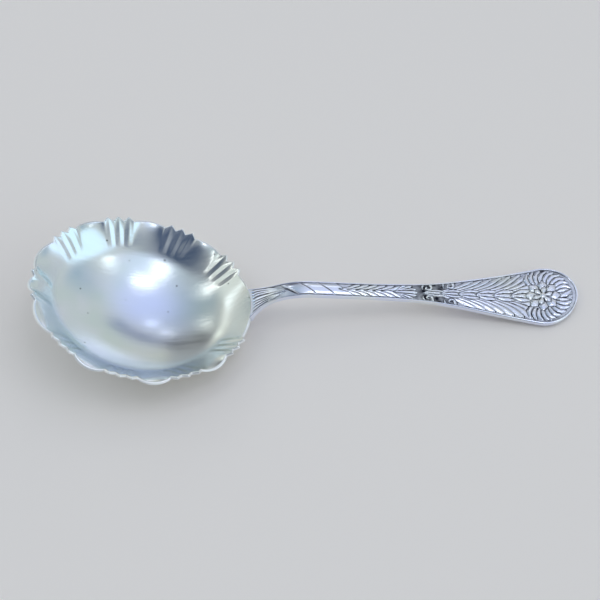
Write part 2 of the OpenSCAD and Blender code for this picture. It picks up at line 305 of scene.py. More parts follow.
# The press that makes the rim: flutes stand out and up in groups, scallops bulge between them, and the
# whole dish is then leaned back and set down on its worn spot
press = bpy.data.node_groups.new("rim_press", "GeometryNodeTree")
press_sizes = {
    "Flute Pitch": flute_pitch,
    "Half Group": group_flutes * flute_pitch / 2,
    "Flute Out": flute_out * mm,
    "Flute Rise": flute_rise * mm,
    "Flute Crown": flute_crown * mm,
    "First Group": first_group,
    "Group Step": group_step,
    "Last Group": side_groups - 1,
    "Tip Flute": tip_flute,
    "Scallop Out": scallop_out * mm,
    "Scallop Drop": scallop_drop * mm,
    "Lean": tilt,
}
press.interface.new_socket("Geometry", in_out="INPUT", socket_type="NodeSocketGeometry")
for name in press_sizes:
    press.interface.new_socket(name, in_out="INPUT", socket_type="NodeSocketFloat")
press.interface.new_socket("Rest Point", in_out="INPUT", socket_type="NodeSocketVector")
press.interface.new_socket("Finish", in_out="INPUT", socket_type="NodeSocketMaterial")
press.interface.new_socket("Geometry", in_out="OUTPUT", socket_type="NodeSocketGeometry")
given = wire(press, "NodeGroupInput")
value_of = {name: given.outputs[name] for name in press_sizes}
for name in ("rim_angle", "up_wall", "out_x", "out_y"):
    stored = wire(press, "GeometryNodeInputNamedAttribute", {"Name": name}, data_type="FLOAT")
    value_of[name] = stored.outputs[0]
# Each step of the rule: its name, the sum that gives it, and what goes into the sum
rule = [
    ("turn", "ABSOLUTE", "rim_angle"),
    ("from_first", "SUBTRACT", "turn", "First Group"),
    ("group_exact", "DIVIDE", "from_first", "Group Step"),
    ("group_near", "ROUND", "group_exact"),
    ("group_least", "MAXIMUM", "group_near", 0.0),
    ("group", "MINIMUM", "group_least", "Last Group"),
    ("group_turn", "MULTIPLY", "group", "Group Step"),
    ("off", "SUBTRACT", "from_first", "group_turn"),
    ("off_size", "ABSOLUTE", "off"),
    ("in_group", "LESS_THAN", "off_size", "Half Group"),
    ("into_group", "ADD", "off", "Half Group"),
    ("flute_count", "DIVIDE", "into_group", "Flute Pitch"),
    ("flute_wave", "PINGPONG", "flute_count", 0.5),
    ("group_tooth", "MULTIPLY", "flute_wave", "in_group"),
    ("tip_middle", "SUBTRACT", math.pi, "Tip Flute"),
    ("half_pitch", "MULTIPLY", "Flute Pitch", 0.5),
    ("tip_from", "SUBTRACT", "tip_middle", "half_pitch"),
    ("tip_to", "ADD", "tip_middle", "half_pitch"),
    ("into_tip", "SUBTRACT", "turn", "tip_from"),
    ("tip_count", "DIVIDE", "into_tip", "Flute Pitch"),
    ("tip_off", "SUBTRACT", "tip_count", 0.5),
    ("tip_off_size", "ABSOLUTE", "tip_off"),
    ("tip_tooth_raw", "SUBTRACT", 0.5, "tip_off_size"),
    ("tip_tooth", "MAXIMUM", "tip_tooth_raw", 0.0),
    ("half_tooth", "MAXIMUM", "group_tooth", "tip_tooth"),
    ("tooth", "MULTIPLY", "half_tooth", 2.0),
    ("group_wide", "MULTIPLY", "Half Group", 2.0),
    ("gap", "SUBTRACT", "Group Step", "group_wide"),
    ("past_group", "SUBTRACT", "off_size", "Half Group"),
    ("gap_share", "DIVIDE", "past_group", "gap"),
    ("last_turn", "MULTIPLY_ADD", "Last Group", "Group Step", "First Group"),
    ("last_end", "ADD", "last_turn", "Half Group"),
    ("last_gap", "SUBTRACT", "tip_from", "last_end"),
    ("past_last", "SUBTRACT", "turn", "last_end"),
    ("is_past_last", "GREATER_THAN", "past_last", 0.0),
    ("last_share", "DIVIDE", "past_last", "last_gap"),
    ("share_change", "SUBTRACT", "last_share", "gap_share"),
    ("side_share", "MULTIPLY_ADD", "share_change", "is_past_last", "gap_share"),
    ("past_tip", "SUBTRACT", "turn", "tip_to"),
    ("is_past_tip", "GREATER_THAN", "past_tip", 0.0),
    ("tip_lobe", "SUBTRACT", math.pi, "tip_to"),
    ("tip_share", "DIVIDE", "past_tip", "tip_lobe"),
    ("half_tip_share", "MULTIPLY", "tip_share", 0.5),
    ("side_share_capped", "MINIMUM", "side_share", 1.0),
    ("tip_change", "SUBTRACT", "half_tip_share", "side_share_capped"),
    ("any_share", "MULTIPLY_ADD", "tip_change", "is_past_tip", "side_share_capped"),
    ("scallop_share", "MAXIMUM", "any_share", 0.0),
    ("scallop_turn", "MULTIPLY", "scallop_share", math.pi),
    ("scallop_arch", "SINE", "scallop_turn"),
    ("scallop_full", "MAXIMUM", "scallop_arch", 0.0),
    ("scallop_round", "POWER", "scallop_full", scallop_power),
    ("clear_of_heel", "GREATER_THAN", "from_first", 0.0),
    ("bulge_whole", "MULTIPLY", "scallop_round", "clear_of_heel"),
    ("late", "MULTIPLY", "up_wall", "up_wall"),
    ("lip_late", "POWER", "up_wall", lip_power),
    ("bulge", "MULTIPLY", "bulge_whole", "late"),
    ("lip", "MULTIPLY", "bulge_whole", "lip_late"),
    ("pleat", "MULTIPLY", "tooth", "up_wall"),
    ("bulge_out", "MULTIPLY", "bulge", "Scallop Out"),
    ("stand_out", "MULTIPLY_ADD", "pleat", "Flute Out", "bulge_out"),
    ("move_x", "MULTIPLY", "stand_out", "out_x"),
    ("move_y", "MULTIPLY", "stand_out", "out_y"),
    ("lip_down", "MULTIPLY", "lip", "Scallop Drop"),
    ("below_end", "SUBTRACT", crown_end, "up_wall"),
    ("half_way", "MULTIPLY", "pleat", "below_end"),
    ("crown_arch", "MULTIPLY", "half_way", 4 / crown_end**2),
    ("crown_up", "MULTIPLY", "crown_arch", "Flute Crown"),
    ("pleat_up", "MULTIPLY_ADD", "pleat", "Flute Rise", "crown_up"),
    ("move_z", "SUBTRACT", "pleat_up", "lip_down"),
]
for name, sum_kind, *parts in rule:
    links = [value_of.get(part, part) for part in parts]
    value_of[name] = wire(press, "ShaderNodeMath", links, operation=sum_kind, label=name).outputs[0]
move = wire(press, "ShaderNodeCombineXYZ", [value_of["move_x"], value_of["move_y"], value_of["move_z"]])
fluted = wire(press, "GeometryNodeSetPosition", {"Geometry": given.outputs["Geometry"], "Offset": move})
rest_place = given.outputs["Rest Point"]
to_rest = wire(press, "ShaderNodeVectorMath", [rest_place, (-1, -1, -1)], operation="MULTIPLY")
moved = wire(press, "GeometryNodeTransform", {"Geometry": fluted, "Translation": to_rest})
lean = wire(press, "ShaderNodeCombineXYZ", {"Y": value_of["Lean"]})
set_down = {"Geometry": moved, "Translation": (0, 0, -flat_cut * mm), "Rotation": lean}
leaned = wire(press, "GeometryNodeTransform", set_down)
at = wire(press, "ShaderNodeSeparateXYZ", [wire(press, "GeometryNodeInputPosition")])
above_table = wire(press, "ShaderNodeMath", [at.outputs["Z"], 0.0], operation="MAXIMUM")
worn_flat = wire(press, "ShaderNodeCombineXYZ", [at.outputs["X"], at.outputs["Y"], above_table])
rested = wire(press, "GeometryNodeSetPosition", {"Geometry": leaned, "Position": worn_flat})
whole = wire(press, "GeometryNodeRealizeInstances", [rested])
finished = wire(press, "GeometryNodeSetMaterial", {"Geometry": whole, "Material": given.outputs["Finish"]})
wire(press, "NodeGroupOutput", [finished])


def pressed(blank, tree, inputs, name):
    """The blank as a plain mesh object, after a Geometry Nodes tree has shaped it."""
    modifier = blank.modifiers.new("shape", "NODES")
    modifier.node_group = tree
    for item in tree.interface.items_tree:
        if item.in_out == "INPUT" and item.name in inputs:
            modifier[item.identifier] = inputs[item.name]
    shaped = bpy.data.meshes.new_from_object(blank.evaluated_get(bpy.context.evaluated_depsgraph_get()))
    blank.modifiers.remove(modifier)
    bpy.data.objects.remove(blank)
    shaped.name = name
    shaped.set_sharp_from_angle(angle=crease)
    piece = bpy.data.objects.new(name, shaped)
    bpy.context.collection.objects.link(piece)
    return piece


bowl_inputs = press_sizes | {"Rest Point": (rest_point * mm).tolist(), "Finish": satin_silver}
bowl = pressed(dish_blank, press, bowl_inputs, "fluted_bowl")
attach(bowl, "root")
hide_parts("bowl")

# Handle: one silver forging, struck between dies. A thin tongue laps the bowl's heel, then the stem arches
# over, falls to the table and spreads to a round end. Its face has a plain raised border round a field of
# leaf and flower relief, with dark oxide left in the hollows.

# Sizes in millimetres, with l along the face from the bowl and y across
solder = 0.2
shoulder_len = 17.0
handle_len = 140.5
neck_wide = 5.2
end_r = 14.25
side_spread = math.radians(12.6)
side_blend = 2.1
end_skew = 0.14
arch_r = 31.0
end_sweep_r = 220.0
neck_thick = 2.7
end_thick = 2.2
edge_drop = 0.5
field_depth = 0.4
under_round = 0.5
settle_len = 8.0
tongue_edge = 0.4

# The face line leaves the heel along the bowl's own slope, and falls as steeply as its end needs to lie
# on the table
steepest_fall = math.radians(25)
heel_u = np.float64(half_len)
heel_slope = slopes(heel_u, middle_y)[0]
root_angle = math.atan(heel_slope) - tilt
heel_rim = laid(under_dish(heel_u, middle_y, 0.0))
root = heel_rim + solder * np.array([math.cos(root_angle), 0, math.sin(root_angle)])


def end_height(fall):
    """Height of the face at the end of the handle, if the stem falls at this angle."""
    straight = handle_len - arch_r * (root_angle + fall) - end_sweep_r * fall
    drop = straight * math.sin(fall) + end_sweep_r * (1 - math.cos(fall))
    return root[2] + arch_r * (math.cos(fall) - math.cos(root_angle)) - drop


fall = halved(0.0, steepest_fall, lambda angle: end_height(angle) > end_thick)
arch_len = arch_r * (root_angle + fall)
straight_len = handle_len - arch_len - end_sweep_r * fall
end_centre = handle_len - end_r
side_end = end_centre - end_r * math.sin(side_spread)


def heading(l):
    """Angle of the face line above level, l millimetres along it."""
    on_arch = root_angle - l / arch_r
    on_sweep = -(handle_len - l) / end_sweep_r
    return np.where(l < arch_len, on_arch, np.where(l < arch_len + straight_len, -fall, on_sweep))


def face_line(l):
    """Points of the face line, l millimetres along it."""
    arch = heading(np.minimum(l, arch_len))
    straight = np.clip(l - arch_len, 0, straight_len)
    sweep = np.where(l > arch_len + straight_len, heading(l), -fall)
    x = arch_r * (math.sin(root_angle) - np.sin(arch)) + straight * math.cos(fall)
    z = arch_r * (np.cos(arch) - math.cos(root_angle)) - straight * math.sin(fall)
    x = x + end_sweep_r * (math.sin(fall) + np.sin(sweep))
    z = z + end_sweep_r * (math.cos(fall) - np.cos(sweep))
    return root + np.stack([x, np.zeros_like(x), z], -1)


# Columns across the face, closer together at its edges, from one corner of the shoulder to the other
top_count = 129
column_span = math.radians(80)
column = np.sin(np.linspace(-1, 1, top_count) * column_span) / math.sin(column_span)
corner_u, corner_y = rim_plan(column * shoulder_angle)
corner_off = laid(under_dish(corner_u, corner_y, 0.0)) - heel_rim
shoulder_half = corner_y[-1]
column_share = corner_y / shoulder_half


def stem_width(l):
    """Half the width of the stem: the neck, blended into the spreading sides."""
    side = end_r / math.cos(side_spread) - (end_centre - l) * math.tan(side_spread)
    blend = side_blend * np.maximum(0, 1 - side / (end_r * math.cos(side_spread)))
    return (neck_wide / 2 + side + np.sqrt((side - neck_wide / 2) ** 2 + 4 * blend**2)) / 2


def half_width(l):
    """Half the width of the handle: shoulder, neck, spreading sides and round end."""
    flare = np.maximum(0, 1 - l / shoulder_len) ** 3
    round_end = np.sqrt(np.maximum(0, end_r**2 - (l - end_centre) ** 2))
    return np.where(l > side_end, round_end, stem_width(l) + flare * (shoulder_half - stem_width(0.0)))


def thickness(l):
    """Thickness of the handle, thinner towards its end."""
    share = np.clip((l - shoulder_len) / (side_end - shoulder_len - 2 * end_r), 0, 1)
    return neck_thick + (end_thick - neck_thick) * share


# The face is worked out on sections of the stem, closer together round the end
first_section = 0.02
section_step = 0.22
end_sections = 110
last_turn = 88.5
round_sections = np.radians(np.linspace(0, last_turn, end_sections))
straight_sections = np.arange(first_section, side_end, section_step)
stem_l = np.concatenate([straight_sections, side_end + (handle_len - side_end) * np.sin(round_sections)])
l_grid = np.repeat(stem_l[:, None], top_count, 1)
y_grid = half_width(stem_l)[:, None] * column_share
struck = np.zeros_like(l_grid)

# How a stroke of the relief tapers, is veined where it is broad, and lies over the strokes before it
path_points = 48
root_taper = 0.6
tip_taper = 0.55
thinnest = 0.12
low_end = 0.55
vein_depth = 0.13
vein_from = 0.7
vein_most = 0.6
vein_count = 3
groove_wide = 0.45
groove_floor = 0.45
kept_below = 0.4


def leaf_path(start, via, end):
    """Points of a smooth curve on the handle's face, from start to end and drawn towards via."""
    t = np.linspace(0, 1, path_points)[:, None]
    return (1 - t) ** 2 * np.array(start) + 2 * t * (1 - t) * np.array(via) + t**2 * np.array(end)


def both_sides(path):
    """A path, and the same path mirrored over the middle of the handle."""
    return path, path * np.array([1, -1])


def chase(path, wide, tall, slant=0.0, fullest=0.6):
    """Strikes one tapering stroke along a path into the face, with a fine groove left round it."""
    reach = wide + groove_wide
    near = (stem_l > path[:, 0].min() - reach) & (stem_l < path[:, 0].max() + reach)
    off = np.stack([l_grid[near], y_grid[near]], -1)[..., None, :] - path
    closest = np.argmin((off**2).sum(-1), -1)
    off = np.take_along_axis(off, closest[..., None, None], -2)[..., 0, :]
    course = np.gradient(path, axis=0)
    course = (course / np.linalg.norm(course, axis=1, keepdims=True))[closest]
    side = course[..., 0] * off[..., 1] - course[..., 1] * off[..., 0]
    t = closest / (len(path) - 1)
    taper = np.minimum(t / fullest, 1) ** root_taper * np.minimum((1 - t) / (1 - fullest), 1) ** tip_taper
    edge = wide * np.maximum(taper, thinnest)
    q = np.copysign(np.linalg.norm(off, axis=-1), side) / edge
    vein_share = vein_depth * np.clip(wide - vein_from, 0, vein_most)
    veins = 1 - vein_share * (1 - np.cos(vein_count * math.pi * (q + 1)))
    ridge = tall * (low_end + (1 - low_end) * taper)
    body = ridge * np.sqrt(np.clip(1 - q**2, 0, 1)) * (1 + slant * q) * veins
    beside = np.clip((np.abs(q) - 1) * edge / groove_wide, 0, 1)
    ground = struck[near]
    grooved = ground * (groove_floor + (1 - groove_floor) * beside)
    struck[near] = np.where(np.abs(q) < 1, np.maximum(body, kept_below * ground), grooved)


# Palmette on the shoulder, opening towards the bowl
palmette_root = 17.0
palmette_waist = 9.0
palmette_tip = 0.5
palmette_round = 0.05
palmette_leaves = 5
palmette_pitch = 1.5
waist_gap = 0.35
waist_pitch = 0.5
middle_gap = 0.1
for k in reversed(range(palmette_leaves)):
    waist = (palmette_waist, waist_gap + waist_pitch * k)
    tip = (palmette_tip + palmette_round * k**2, middle_gap + palmette_pitch * k)
    for path in both_sides(leaf_path((palmette_root, middle_gap), waist, tip)):
        chase(path, wide=0.85, tall=0.5, slant=0.15, fullest=0.85)

# Ribbon wound three times round the neck
ribbon_from = 17.5
ribbon_pitch = 7.8
ribbon_turns = 3
ribbon_slope = 1.3
ribbon_edge = 0.08
ribbon_fade = 0.1
ribbon_power = 0.7
ribbon_step = 0.45
ribbon_crown = 0.7
wound = (l_grid - ribbon_from + ribbon_slope * y_grid) / ribbon_pitch
ribbon_end = np.clip(wound / ribbon_fade, 0, 1) * np.clip((ribbon_turns - wound) / ribbon_fade, 0, 1)
crown = 1 - (y_grid / half_width(l_grid)) ** 2
turn_rise = (wound % 1) ** ribbon_power * np.clip((1 - wound % 1) / ribbon_edge, 0, 1)
np.maximum(struck, (ribbon_step * turn_rise + ribbon_crown * crown) * ribbon_end, out=struck)

# Feathered leaves in pairs along the stem
feather_pairs = 6
feather_from = 42.0
feather_pitch = 3.6
feather_back = 3.5
feather_bend = 2.6
feather_ahead = 5.5
bend_gap = 0.3
feather_half = 3.05
feather_growth = 0.07
for k in range(feather_pairs):
    at = feather_from + feather_pitch * k
    tip = (at + feather_ahead, feather_half + feather_growth * k)
    for path in both_sides(leaf_path((at - feather_back, middle_gap), (at + feather_bend, bend_gap), tip)):
        chase(path, wide=1.15, tall=0.5, slant=0.45)

# Fluted shell where the stem begins to spread
shell_root = 61.5
shell_ribs = 4
shell_fan = 21
shell_foot = 1.1
shell_len = 9.0
shell_half = 4.6
shell_bend = 3.5
foot_pitch = 0.05
bend_pitch = 0.5
for k in reversed(range(shell_ribs)):
    fan = math.radians(shell_fan * k)
    foot = (shell_root, foot_pitch * k)
    bend = (shell_root + shell_bend, bend_pitch * k)
    tip = (shell_root + shell_foot + shell_len * math.cos(fan), shell_half * math.sin(fan))
    for path in both_sides(leaf_path(foot, bend, tip)):
        chase(path, wide=0.85, tall=0.6, fullest=0.85)

# Broad plumes that sweep out to both borders
plume_count = 9
plume_from = 87.0
plume_pitch = 4.1
plume_back = 7.0
plume_ahead = 9.0
plume_gap = 0.6
plume_gap_growth = 0.25
plume_wide = 1.75
plume_growth = 0.07
bend_share = 0.3
border_clear = 1.3
for k in range(plume_count):
    at = plume_from + plume_pitch * k
    far = half_width(np.float64(at + plume_ahead)) - border_clear
    foot = (at - plume_back, plume_gap + plume_gap_growth * k)
    bend = (at + plume_ahead / 2, bend_share * far)
    for path in both_sides(leaf_path(foot, bend, (at + plume_ahead, far))):
        chase(path, wide=plume_wide + plume_growth * k, tall=0.5, slant=0.45, fullest=0.68)

# Rolled scrolls on a dark ground before the plumes: place along and across, radius and width of each
scroll_start = -30
scroll_sweep = 450
scroll_power = 0.8
scroll_eye = 0.2
for scroll_l, scroll_y, scroll_r, scroll_wide in ((76.2, 2.7, 2.3, 0.65), (85.6, 4.2, 2.6, 0.7)):
    roll = np.linspace(0, 1, path_points)
    turn = np.radians(scroll_start + scroll_sweep * roll)
    curl = scroll_r * (1 - roll) ** scroll_power + scroll_eye
    for path in both_sides(np.stack([scroll_l - curl * np.cos(turn), scroll_y + curl * np.sin(turn)], -1)):
        chase(path, wide=scroll_wide, tall=0.62, fullest=0.2)

# Chain of husks down the middle, each of two side leaves and one between them
husk_count = 6
husk_from = 74.0
husk_pitch = 7.6
husk_len = 9.0
husk_half = 1.3
husk_growth = 0.25
husk_turn_in = 0.2
husk_wide = 0.75
husk_widening = 0.12
middle_len = 10.5
middle_draw = 5.0
middle_wide = 0.7
middle_widening = 0.1
for k in range(husk_count):
    at = husk_from + husk_pitch * k
    flare = husk_half + husk_growth * k
    side_leaf = leaf_path((at, 0.0), (at + husk_len / 2, flare), (at + husk_len, flare - husk_turn_in))
    for path in both_sides(side_leaf):
        chase(path, wide=husk_wide + husk_widening * k, tall=0.6, slant=0.2, fullest=0.5)
    middle_leaf = leaf_path((at, 0.0), (at + middle_draw, 0.0), (at + middle_len, 0.0))
    chase(middle_leaf, wide=middle_wide + middle_widening * k, tall=0.66, fullest=0.5)

# Double flower on the round end, in a wreath of leaves
flower_back = 0.6
flower_l = end_centre - flower_back


def from_flower(radius, turn):
    """A point of the face, at a distance and an angle from the flower's middle."""
    return np.array([flower_l + radius * math.cos(turn), radius * math.sin(turn)])


wreath_leaves = 11
wreath_step = 13
wreath_inner = 6.0
wreath_bend = 9.5
wreath_outer = 12.7
bend_ahead = 0.14
tip_behind = 0.2
for k in reversed(range(wreath_leaves)):
    turn = math.radians(wreath_step * k)
    foot = from_flower(wreath_inner, turn)
    tip = from_flower(wreath_outer, turn - tip_behind)
    for path in both_sides(leaf_path(foot, from_flower(wreath_bend, turn + bend_ahead), tip)):
        chase(path, wide=1.5, tall=0.6, slant=0.45)
petal_share = 0.29
# Each ring of petals: how many, their length and height, and the turn of the first
for petals, petal_len, petal_tall, first_turn in ((8, 7.4, 0.66, 0.0), (6, 4.4, 0.8, 0.3)):
    for k in range(petals):
        tip = from_flower(petal_len, first_turn + 2 * math.pi * k / petals)
        petal = np.linspace((flower_l, 0), tip, path_points)
        chase(petal, wide=petal_share * petal_len, tall=petal_tall, fullest=0.74)
button_r = 1.5
button_tall = 0.9
button = np.sqrt(np.clip(1 - (np.hypot(l_grid - flower_l, y_grid) / button_r) ** 2, 0, 1))
np.maximum(struck, button_tall * button, out=struck)

# Plain raised border, and the relief let down to its foot
from_centre = np.hypot(l_grid - end_centre, y_grid)
side_inset = (half_width(l_grid) - np.abs(y_grid)) * math.cos(side_spread)
inset = np.where(l_grid > side_end, end_r - from_centre, side_inset)
border_least = 0.4
border_growth = 0.05
fade_len = 2.2
border_wide = border_least + border_growth * half_width(l_grid)
border = np.sqrt(1 - np.clip(2 * inset / border_wide - 1, 0, 1) ** 2)
shoulder_fade = np.clip(stem_l / fade_len, 0, 1)[:, None]
struck = struck * np.clip((inset - border_wide) / groove_wide, 0, 1) * shoulder_fade


def averaged(grid, axis, reach):
    """The grid averaged over its neighbours along one axis, reach to each side."""
    first = np.repeat(grid.take([0], axis), reach, axis)
    last = np.repeat(grid.take([-1], axis), reach, axis)
    padded = np.concatenate([first, grid, last], axis)
    count = grid.shape[axis]
    return sum(padded.take(range(k, k + count), axis) for k in range(2 * reach + 1)) / (2 * reach + 1)


# Oxide stays in the lines between the strokes, sought over more columns where the handle is narrow and
# they lie closer, and covers the open ground before the plumes and in the wreath
fine_reach = 3
broad_reach = 8
broad_half = 10
narrow_over = 6
line_least = 0.012
line_full = 0.06
ground_tall = 0.15
scroll_middle = 77
scroll_spread = 11
wreath_spread = 9
wreath_strength = 0.8
least_kept = 0.25
face_height = struck + field_depth * border
along_mean = averaged(face_height, 0, fine_reach)
narrow = np.clip((broad_half - half_width(stem_l)) / narrow_over, 0, 1)[:, None]
broad_mean = averaged(along_mean, 1, broad_reach)
fine_mean = averaged(along_mean, 1, fine_reach)
deeper = narrow * broad_mean + (1 - narrow) * fine_mean - face_height
in_lines = np.clip((deeper - line_least) / line_full, 0, 1)
open_ground = np.clip(1 - struck / ground_tall, 0, 1)
scroll_part = np.exp(-(((stem_l - scroll_middle) / scroll_spread) ** 2))
wreath_part = np.exp(-(((stem_l - flower_l) / wreath_spread) ** 2))
ground_kept = least_kept + (1 - least_kept) * np.maximum(scroll_part, wreath_strength * wreath_part)
hollow = np.maximum(in_lines, open_ground * ground_kept[:, None]) * (1 - border) * shoulder_fade

# The face and the underside are set out from the plain face line, which settles onto the rim at the shoulder
round_from = 0.93
rounding = np.clip((np.abs(column) - round_from) / (1 - round_from), 0, 1)
face_drop = field_depth * (1 - border) * np.clip(stem_l / settle_len, 0, 1)[:, None]
face_drop = face_drop + edge_drop * (1 - np.sqrt(1 - rounding**2)) - struck
settle = np.maximum(0, 1 - stem_l / settle_len) ** 2
angle = heading(stem_l)
above = np.stack([-np.sin(angle), np.zeros_like(angle), np.cos(angle)], -1)
ahead = np.stack([np.cos(angle), np.zeros_like(angle), np.sin(angle)], -1)
skew = end_skew * (stem_l / handle_len) ** 3
plain = face_line(stem_l)[:, None] + settle[:, None, None] * corner_off * np.array([1, 0, 1])
plain = plain + y_grid[..., None] * np.array([0, 1, 0]) + (skew[:, None] * y_grid)[..., None] * ahead[:, None]
face = plain - face_drop[..., None] * above[:, None]
under_count = 13
under_pick = np.linspace(top_count - 1, 0, under_count).round().astype(int)
under_column = column[under_pick]
under_crown = thickness(stem_l)[:, None] * (1 - under_round * under_column**2)
under_drop = under_crown + edge_drop * np.abs(under_column) ** 6
under = plain[:, under_pick] - under_drop[..., None] * above[:, None]

# Sections of the tongue, which follows the outside of the bowl with the solder between
lap_sections = 14
tongue_round = 3
lap_share = np.linspace(0, 1, lap_sections)
rim_corner = np.stack([corner_u, corner_y], -1)
lap_back = flute_run * (1 - lap_share[:, None, None]) / np.linalg.norm(rim_corner, axis=-1)[:, None]
lap_u, lap_y = np.moveaxis(rim_corner * (1 - lap_back), -1, 0)
lap_top = under_dish(lap_u, lap_y, sheet + solder)
lap_drop = np.maximum(0, 1 - (1 - lap_share[:, None]) * np.sqrt(1 + tongue_round * column**2))
lap_thick = tongue_edge + (neck_thick * (1 - under_round * column**2) - tongue_edge) * lap_drop
lap_under = (lap_top - lap_thick[..., None] * upward(lap_u, lap_y))[:, under_pick]

lap_rings = np.concatenate([laid(lap_top), laid(lap_under)], 1)
stem_rings = np.concatenate([face, under], 1)
sections = np.concatenate([lap_rings, stem_rings])
section_count, ring = sections.shape[:2]
hollow_all = np.zeros((section_count, ring))
hollow_all[lap_sections:, :top_count] = hollow
handle_faces = []
for s in range(section_count - 1):
    for i in range(ring):
        j = (i + 1) % ring
        handle_faces.append((s * ring + i, (s + 1) * ring + i, (s + 1) * ring + j, s * ring + j))
handle_faces.append(tuple(range(ring)))
handle_faces.append(tuple(range(section_count * ring - 1, (section_count - 1) * ring - 1, -1)))
handle = closed_mesh("struck_handle", sections.reshape(-1, 3), handle_faces)
layer = handle.data.attributes.new("hollow", "FLOAT", "POINT")
layer.data.foreach_set("value", hollow_all.ravel())

# Struck sterling silver: bright where hands and cloths reach, with a faint lavender cast in cloudy patches,
# and blue-black sulphide left unevenly in the hollows, which is duller than the metal
grime_wide = 2.4
struck_cloud_wide = 14
oxidised_silver = bpy.data.materials.new("sterling_silver_oxidised")
oxidised_silver.use_nodes = True
tree = oxidised_silver.node_tree
tree.nodes.clear()
place = wire(tree, "ShaderNodeTexCoord").outputs["Object"]
grime = wire(tree, "ShaderNodeTexNoise", {"Vector": place, "Scale": 1 / (grime_wide * mm), "Detail": 4.0})
in_hollow = wire(tree, "ShaderNodeAttribute", attribute_name="hollow").outputs["Fac"]
grime_range = {"Value": grime, "From Min": 0.3, "From Max": 0.7, "To Min": 0.55, "To Max": 1.15}
uneven = wire(tree, "ShaderNodeMapRange", grime_range)
oxide = wire(tree, "ShaderNodeMath", [in_hollow, uneven], operation="MULTIPLY", use_clamp=True)
clouded = {"Vector": place, "Scale": 1 / (struck_cloud_wide * mm), "Detail": 2.0}
cloud = wire(tree, "ShaderNodeTexNoise", clouded)
tone = wire(tree, "ShaderNodeValToRGB", [cloud])
tone.color_ramp.elements[0].position = 0.32
tone.color_ramp.elements[0].color = linear("#EEF3F6")
tone.color_ramp.elements[1].position = 0.52
tone.color_ramp.elements[1].color = linear("#EAEFFF")
tint = wire(tree, "ShaderNodeMix", {"Factor": oxide, "A": tone, "B": linear("#171A28")}, data_type="RGBA")
gloss = wire(tree, "ShaderNodeMapRange", {"Value": oxide, "To Min": 0.14, "To Max": 0.5})
finish = {"Base Color": tint.outputs[2], "Metallic": 1.0, "Roughness": gloss}
silver = wire(tree, "ShaderNodeBsdfPrincipled", finish)
wire(tree, "ShaderNodeOutputMaterial", [silver])
handle.data.materials.append(oxidised_silver)
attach(handle, "root")
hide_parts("handle")

# Solder seam: the thin film of silver solder that ran between the tongue and the bowl's heel and holds
# the two together. Silver solder, melted and left as it set: a little greyer and duller than the sterling
# on both sides of it, with soft flow marks
flow_wide = 1.5
solder_silver = bpy.data.materials.new("silver_solder")
solder_silver.use_nodes = True
tree = solder_silver.node_tree
tree.nodes.clear()
place = wire(tree, "ShaderNodeTexCoord").outputs["Object"]
flow = wire(tree, "ShaderNodeTexNoise", {"Vector": place, "Scale": 1 / (flow_wide * mm), "Detail": 3.0})
greys = {"Factor": flow, "A": linear("#CED2D6"), "B": linear("#E2E5E8")}
tint = wire(tree, "ShaderNodeMix", greys, data_type="RGBA")
finish = {"Base Color": tint.outputs[2], "Metallic": 1.0, "Roughness": 0.28}
silver = wire(tree, "ShaderNodeBsdfPrincipled", finish)
wire(tree, "ShaderNodeOutputMaterial", [silver])
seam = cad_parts["solder_seam"]
seam.material_slots[0].material = solder_silver

# Floor: a plain sheet of pale matt paper under the spoon, laid flat at table height. It is wide enough to
# fill the picture and keeps the spoon's shadow
floor_size = 6
floor_middle = (0.05, 0, 0)
bpy.ops.mesh.primitive_plane_add(size=floor_size, location=floor_middle)
floor = bpy.context.object
floor.name = "floor"
paper = bpy.data.materials.new("pale_floor")
paper.use_nodes = True
matt = paper.node_tree.nodes["Principled BSDF"].inputs
matt["Base Color"].default_value = linear("#FFF8F2")
matt["Roughness"].default_value = 0.9
floor.data.materials.append(paper)

# Studio light: soft boxes hung level over the table, two small ones side by side for the highlight in the
# bowl, a long one to the left and a small one far to the right. The room round them is pale, with the lit
# and dark places that polished silver needs to look like metal
light_level = 0.87
# Each soft box: its name, place and height in metres, turn in degrees, length, width and brightness
for name, x, y, height, yaw, length, wide, shine in (
    ("soft_box_near", 0.145, -0.135, 0.9, 0, 0.12, 0.19, 2.3),
    ("soft_box_right", 0.325, 0.025, 0.9, 0, 0.24, 0.11, 2.3),
    ("soft_box_left", -0.57, 0.035, 0.9, 25, 0.80, 0.13, 1.7),
    ("soft_box_far_right", 0.60, -0.11, 0.67, 0, 0.17, 0.14, 1.4),
):
    lamp = bpy.data.lights.new(name, "AREA")
    lamp.shape = "RECTANGLE"
    lamp.size = length
    lamp.size_y = wide
    lamp.energy = light_level * shine * math.pi * length * wide
    stand = bpy.data.objects.new(name, lamp)
    stand.location = (x, y, height)
    stand.rotation_euler = (0, 0, math.radians(yaw))
    bpy.context.collection.objects.link(stand)
room = bpy.data.worlds.new("room")
room.use_nodes = True
bpy.context.scene.world = room
tree = room.node_tree
tree.nodes.clear()
look = wire(tree, "ShaderNodeTexCoord").outputs["Generated"]
aim = wire(tree, "ShaderNodeSeparateXYZ", [look]).outputs


def band(value, middle, inner, outer):
    """One within inner of the middle, fading to nothing at outer."""
    off = wire(tree, "ShaderNodeMath", [value, middle], operation="SUBTRACT")
    size = wire(tree, "ShaderNodeMath", [off], operation="ABSOLUTE")
    fade = {"Value": size, "From Min": inner, "From Max": outer, "To Min": 1.0, "To Max": 0.0}
    return wire(tree, "ShaderNodeMapRange", fade, interpolation_type="SMOOTHSTEP")


def crossing(across, up):
    """One where a band across the room meets a band of height, each with its middle, inner and outer."""
    return wire(tree, "ShaderNodeMath", [band(aim["X"], *across), band(aim["Z"], *up)], operation="MULTIPLY")


